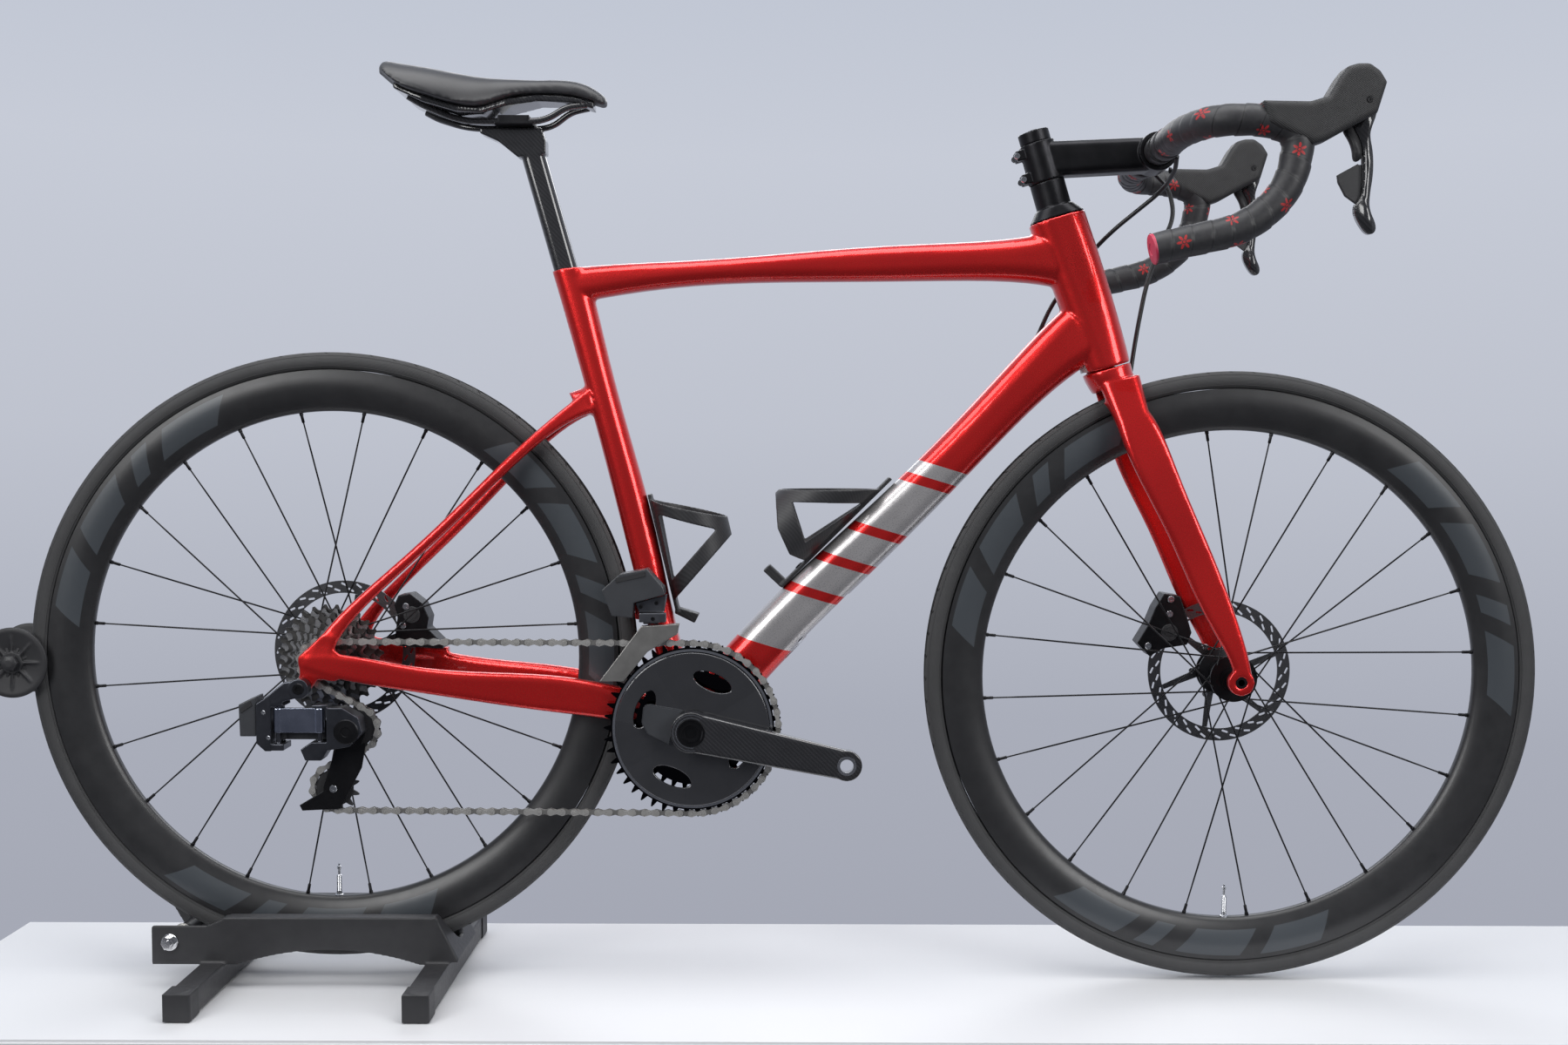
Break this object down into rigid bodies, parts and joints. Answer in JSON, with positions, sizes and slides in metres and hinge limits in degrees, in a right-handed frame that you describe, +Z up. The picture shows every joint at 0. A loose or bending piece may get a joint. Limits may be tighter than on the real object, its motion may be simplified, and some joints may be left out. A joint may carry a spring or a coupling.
{
  "type": "bicycle on stand",
  "caption": "Road bicycle with disc brakes, drop bar and electronic gears, held upright by a low steel floor stand with a sprung roller at the rear wheel.",
  "frame": {"origin": "on the floor under the middle of the part's overall length and width", "axes": "+X towards the front wheel, +Y to the rider's left, away from the drive side, +Z up"},
  "size_m": [1.721, 0.4428, 1.0062],
  "materials": {
    "stand_steel": "matte black powder coat",
    "stand_plastic": "matte moulded",
    "stand_chrome": "bright plated",
    "spring_steel": "plain",
    "frame_red": "metallic candy red clear coat over carbon fibre",
    "carbon_gloss": "gloss carbon",
    "carbon_matte": "matte carbon",
    "alloy_black": "black anodised",
    "alloy_silver": "polished",
    "steel_bright": "bright",
    "steel_black": "black oxide",
    "tyre_rubber": "black rubber",
    "hood_rubber": "ribbed rubber",
    "tape_fabric": "soft printed bar tape",
    "saddle_skin": "smooth synthetic leather",
    "battery_grey": "dark grey moulded",
    "hose_black": "smooth"
  },
  "bodies": {
    "stand": {"stand_base": "stand_steel", "stand_end_caps": "stand_plastic", "stand_pivot_bolt": "stand_chrome", "stand_arm_spring": "spring_steel"},
    "stand_arm": {"stand_arm": "stand_steel"},
    "stand_roller": {"stand_roller": "stand_plastic"},
    "frame": {"frame": "frame_red", "bearings": "steel_bright", "seat_tube_cage": "carbon_matte", "down_tube_cage": "carbon_matte", "rear_axle": "alloy_black", "rear_caliper": "alloy_black", "fd_body": "alloy_silver", "fd_battery": "battery_grey", "chain": "steel_bright", "rd_body": "alloy_black", "rd_battery": "battery_grey"},
    "fd_cage": {"fd_cage": "alloy_silver"},
    "seatpost": {"seatpost": "carbon_gloss", "saddle_clamp": "alloy_black", "saddle_rails": "carbon_gloss", "saddle_shell": "carbon_gloss", "saddle_cover": "saddle_skin"},
    "crank": {"crank_arm_right": "carbon_gloss", "crank_arm_left": "carbon_gloss", "spider": "alloy_black", "chainring_large": "alloy_black", "chainring_small": "alloy_black", "chainring_bolts": "steel_bright"},
    "rd_outer_link": {"rd_outer_link": "alloy_silver"},
    "rd_inner_link": {"rd_inner_link": "alloy_black"},
    "rd_knuckle": {"rd_knuckle": "alloy_black"},
    "rd_cage": {"rd_cage": "alloy_black"},
    "guide_pulley": {"guide_pulley": "stand_plastic"},
    "tension_pulley": {"tension_pulley": "stand_plastic"},
    "rear_wheel": {"rear_tyre": "tyre_rubber", "rear_rim": "carbon_matte", "rear_spokes": "steel_black", "rear_hub": "alloy_black", "rear_rotor": "steel_bright"},
    "cassette": {"cassette": "steel_bright"},
    "steering": {"fork": "frame_red", "headset_spacers": "alloy_black", "stem": "alloy_black", "handlebar": "carbon_matte", "bar_tape": "tape_fabric", "hoods": "hood_rubber", "front_caliper": "alloy_black", "front_axle": "alloy_black", "front_hose": "hose_black", "rear_hose": "hose_black"},
    "front_wheel": {"front_tyre": "tyre_rubber", "front_rim": "carbon_matte", "front_spokes": "steel_black", "front_hub": "alloy_black", "front_rotor": "steel_bright"},
    "lever_right": {"lever_right": "carbon_gloss"},
    "lever_left": {"lever_left": "carbon_gloss"},
    "paddle_right": {"paddle_right": "alloy_black"},
    "paddle_left": {"paddle_left": "alloy_black"}
  },
  "joints": [
    {"name": "bike_lift", "type": "slide", "parent": "stand", "child": "frame", "axis": [0, 0, 1], "range_m": [0, 0.06]},
    {"name": "stand_arm_pivot", "type": "hinge", "parent": "stand", "child": "stand_arm", "pos_m": [-0.6421, 0, 0.0515], "axis": [0, -1, 0], "range_deg": [0, 60], "stiffness_Nm_per_rad": 2, "deforming": ["stand_arm_spring"]},
    {"name": "roller_spin", "type": "hinge", "parent": "stand_arm", "child": "stand_roller", "pos_m": [-0.8215, 0, 0.355], "axis": [0, 1, 0], "continuous": true},
    {"name": "rear_wheel_spin", "type": "hinge", "parent": "frame", "child": "rear_wheel", "pos_m": [-0.4695, 0, 0.3612], "axis": [0, 1, 0], "continuous": true},
    {"name": "crank_spin", "type": "hinge", "parent": "frame", "child": "crank", "pos_m": [-0.0695, 0, 0.2875], "axis": [0, 1, 0], "continuous": true, "deforming": ["chain"]},
    {"name": "cassette_spin", "type": "hinge", "parent": "frame", "child": "cassette", "pos_m": [-0.4695, 0, 0.3612], "axis": [0, 1, 0], "continuous": true},
    {"name": "steering", "type": "hinge", "parent": "frame", "child": "steering", "pos_m": [0.328, 0, 0.8426], "axis": [-0.2807, 0, 0.9598], "range_deg": [-45, 45], "deforming": ["rear_hose"]},
    {"name": "front_wheel_spin", "type": "hinge", "parent": "steering", "child": "front_wheel", "pos_m": [0.5205, 0, 0.34], "axis": [0, 1, 0], "continuous": true},
    {"name": "brake_lever_right", "type": "hinge", "parent": "steering", "child": "lever_right", "pos_m": [0.5925, -0.198, 0.926], "axis": [0, 1, 0], "range_deg": [0, 18], "stiffness_Nm_per_rad": 0.6},
    {"name": "brake_lever_left", "type": "hinge", "parent": "steering", "child": "lever_left", "pos_m": [0.5925, 0.198, 0.926], "axis": [0, 1, 0], "range_deg": [0, 18], "stiffness_Nm_per_rad": 0.6},
    {"name": "shift_paddle_right", "type": "hinge", "parent": "lever_right", "child": "paddle_right", "pos_m": [0.5895, -0.1975, 0.85], "axis": [0, 0, -1], "range_deg": [0, 10], "stiffness_Nm_per_rad": 0.1},
    {"name": "shift_paddle_left", "type": "hinge", "parent": "lever_left", "child": "paddle_left", "pos_m": [0.5895, 0.1975, 0.85], "axis": [0, 0, 1], "range_deg": [0, 10], "stiffness_Nm_per_rad": 0.1},
    {"name": "rd_outer_link_pivot", "type": "hinge", "parent": "frame", "child": "rd_outer_link", "pos_m": [-0.5075, -0.086, 0.298], "axis": [0, 0, 1], "range_deg": [0, 30]},
    {"name": "rd_inner_link_pivot", "type": "hinge", "parent": "frame", "child": "rd_inner_link", "pos_m": [-0.5075, -0.071, 0.298], "axis": [0, 0, 1], "range_deg": [0, 30]},
    {"name": "rd_knuckle_pivot", "type": "hinge", "parent": "rd_outer_link", "child": "rd_knuckle", "pos_m": [-0.4635, -0.086, 0.298], "axis": [0, 0, 1], "range_deg": [-30, 0]},
    {"name": "rd_cage_pivot", "type": "hinge", "parent": "rd_knuckle", "child": "rd_cage", "pos_m": [-0.4325, -0.06, 0.289], "axis": [0, -1, 0], "range_deg": [0, 30], "stiffness_Nm_per_rad": 0.6},
    {"name": "guide_pulley_spin", "type": "hinge", "parent": "rd_cage", "child": "guide_pulley", "pos_m": [-0.4325, -0.06, 0.289], "axis": [0, 1, 0], "continuous": true},
    {"name": "tension_pulley_spin", "type": "hinge", "parent": "rd_cage", "child": "tension_pulley", "pos_m": [-0.4555, -0.06, 0.225], "axis": [0, 1, 0], "continuous": true},
    {"name": "fd_cage_shift", "type": "slide", "parent": "frame", "child": "fd_cage", "axis": [0, 1, 0], "range_m": [0, 0.005]},
    {"name": "seatpost_height", "type": "slide", "parent": "frame", "child": "seatpost", "axis": [-0.2706, 0, 0.9627], "range_m": [-0.01, 0.06]}
  ],
  "couplings": [
    {"joint": "cassette_spin", "follows": "crank_spin", "ratio": 4.1818},
    {"joint": "guide_pulley_spin", "follows": "crank_spin", "ratio": -3.8333},
    {"joint": "tension_pulley_spin", "follows": "crank_spin", "ratio": 3.8333},
    {"joint": "rd_inner_link_pivot", "follows": "rd_outer_link_pivot", "ratio": 1},
    {"joint": "rd_knuckle_pivot", "follows": "rd_outer_link_pivot", "ratio": -1}
  ]
}
